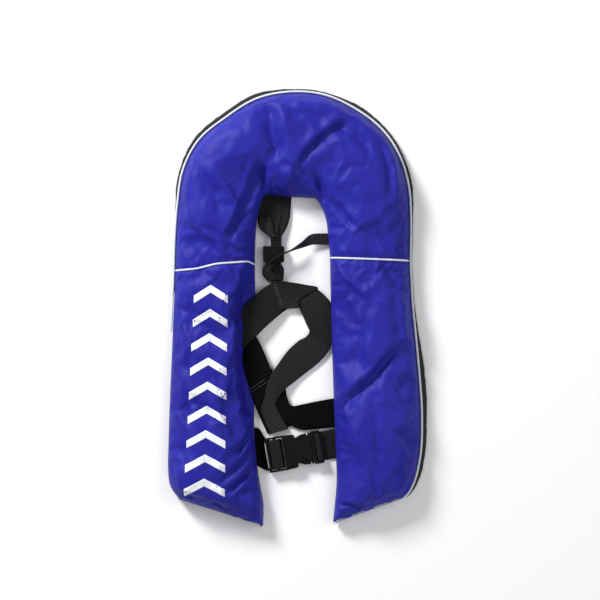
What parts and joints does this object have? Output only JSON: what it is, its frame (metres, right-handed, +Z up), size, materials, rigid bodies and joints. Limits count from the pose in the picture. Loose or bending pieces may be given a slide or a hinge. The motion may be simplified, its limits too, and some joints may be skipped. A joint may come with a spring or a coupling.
{
  "type": "inflatable life jacket",
  "caption": "Packed horse-collar inflatable life jacket: U-shaped cloth cover over a folded bladder and gas inflator, with webbing harness and side-release waist buckle.",
  "frame": {"origin": "middle of the footprint at the height of the surface it lies on", "axes": "+Y from the lobes' lower ends towards the neck, +X towards the wearer's left lobe as it is seen from the front, +Z up out of the front cover"},
  "size_m": [0.3377, 0.5687, 0.0415],
  "materials": {
    "nylon_blue": "woven nylon",
    "black_mesh": "spacer mesh",
    "piping_white": "reflective braid",
    "webbing_black": "ribbed polyester webbing",
    "hook_loop_black": "hook-and-loop pile",
    "bladder_yellow": "coated nylon",
    "acetal_black": "fine moulded texture",
    "inflator_plastic": "moulded",
    "steel": "zinc plated",
    "brass": "turned",
    "rubber_black": "matte",
    "handle_red": "moulded",
    "whistle_orange": "moulded",
    "lanyard_cord": "braided"
  },
  "bodies": {
    "root": {"front_cover_yoke": "nylon_blue", "front_cover_left": "nylon_blue", "front_cover_right": "nylon_blue", "back_panel": "black_mesh", "edge_piping": "piping_white", "cross_piping_left": "piping_white", "cross_piping_right": "piping_white", "closure_hook_tape": "hook_loop_black", "closure_loop_tape": "hook_loop_black", "inner_edge_binding": "webbing_black", "belt_sleeve_left": "black_mesh", "belt_sleeve_right": "black_mesh", "bladder": "bladder_yellow", "inflator_stem": "brass", "stem_gasket_lower": "rubber_black", "stem_gasket_upper": "rubber_black", "inflator_body": "inflator_plastic", "cap_nut": "brass", "cylinder_gasket": "rubber_black", "lever_pin": "steel", "oral_tube": "rubber_black", "oral_tube_base": "rubber_black", "mouthpiece": "acetal_black", "whistle": "whistle_orange", "neck_strap": "webbing_black", "slider_loop": "webbing_black", "harness_joint": "webbing_black", "back_strap_left": "webbing_black", "back_strap_right": "webbing_black", "back_belt": "webbing_black", "neck_tape": "webbing_black"},
    "belt_left": {"buckle_female": "acetal_black", "waist_belt_left": "webbing_black", "belt_keeper_roll": "webbing_black"},
    "belt_right": {"buckle_male": "acetal_black", "waist_belt_right": "webbing_black"},
    "prong_upper": {"buckle_prong_upper": "acetal_black"},
    "prong_lower": {"buckle_prong_lower": "acetal_black"},
    "slider": {"strap_slider": "webbing_black"},
    "handle": {"pull_handle": "handle_red", "pull_lanyard": "lanyard_cord"},
    "lever": {"pull_lever": "inflator_plastic"},
    "pin": {"piercing_pin": "steel", "pin_spring": "steel"},
    "cylinder": {"co2_cylinder": "steel"},
    "cap": {"dust_cap": "acetal_black"},
    "poppet": {"valve_poppet": "acetal_black", "poppet_spring": "steel"}
  },
  "joints": [
    {"name": "belt_right_slide", "type": "slide", "parent": "root", "child": "belt_right", "axis": [0.9848, 0.1736, 0], "range_m": [0, 0.015], "deforming": ["buckle_prong_upper", "buckle_prong_lower"]},
    {"name": "belt_left_slide", "type": "slide", "parent": "root", "child": "belt_left", "axis": [-0.9848, -0.1736, 0], "range_m": [0, 0.009], "deforming": ["buckle_prong_upper", "buckle_prong_lower"]},
    {"name": "prong_upper_squeeze", "type": "hinge", "parent": "belt_right", "child": "prong_upper", "pos_m": [0.01826, -0.16872, 0.0071], "axis": [0, 0, 1], "range_deg": [0, 6], "stiffness_Nm_per_rad": 0.4},
    {"name": "prong_lower_squeeze", "type": "hinge", "parent": "belt_right", "child": "prong_lower", "pos_m": [0.02319, -0.19669, 0.0071], "axis": [0, 0, -1], "range_deg": [0, 6], "stiffness_Nm_per_rad": 0.4},
    {"name": "slider_slide", "type": "slide", "parent": "root", "child": "slider", "axis": [0, 1, 0], "range_m": [0, 0.008]},
    {"name": "pull_handle_slide", "type": "slide", "parent": "root", "child": "handle", "axis": [0, -1, 0], "range_m": [0, 0.025], "deforming": ["pull_lanyard"]},
    {"name": "pull_lever_hinge", "type": "hinge", "parent": "root", "child": "lever", "pos_m": [0.106, -0.15, 0.0215], "axis": [0, 0, -1], "range_deg": [0, 80]},
    {"name": "piercing_pin_slide", "type": "slide", "parent": "root", "child": "pin", "axis": [0, 1, 0], "range_m": [0, 0.003], "deforming": ["pin_spring"]},
    {"name": "cylinder_turn", "type": "hinge", "parent": "root", "child": "cylinder", "pos_m": [0.106, -0.05, 0.0215], "axis": [0, 1, 0], "range_deg": [0, 360]},
    {"name": "dust_cap_slide", "type": "slide", "parent": "root", "child": "cap", "axis": [0, -1, 0], "range_m": [0, 0.014]},
    {"name": "valve_poppet_slide", "type": "slide", "parent": "root", "child": "poppet", "axis": [0, 1, 0], "range_m": [0, 0.002], "stiffness_N_per_m": 200, "deforming": ["poppet_spring"]}
  ],
  "couplings": [
    {"joint": "pull_lever_hinge", "follows": "pull_handle_slide", "rad_per_m": 55.781},
    {"joint": "piercing_pin_slide", "follows": "pull_handle_slide", "ratio": 0.1198}
  ]
}
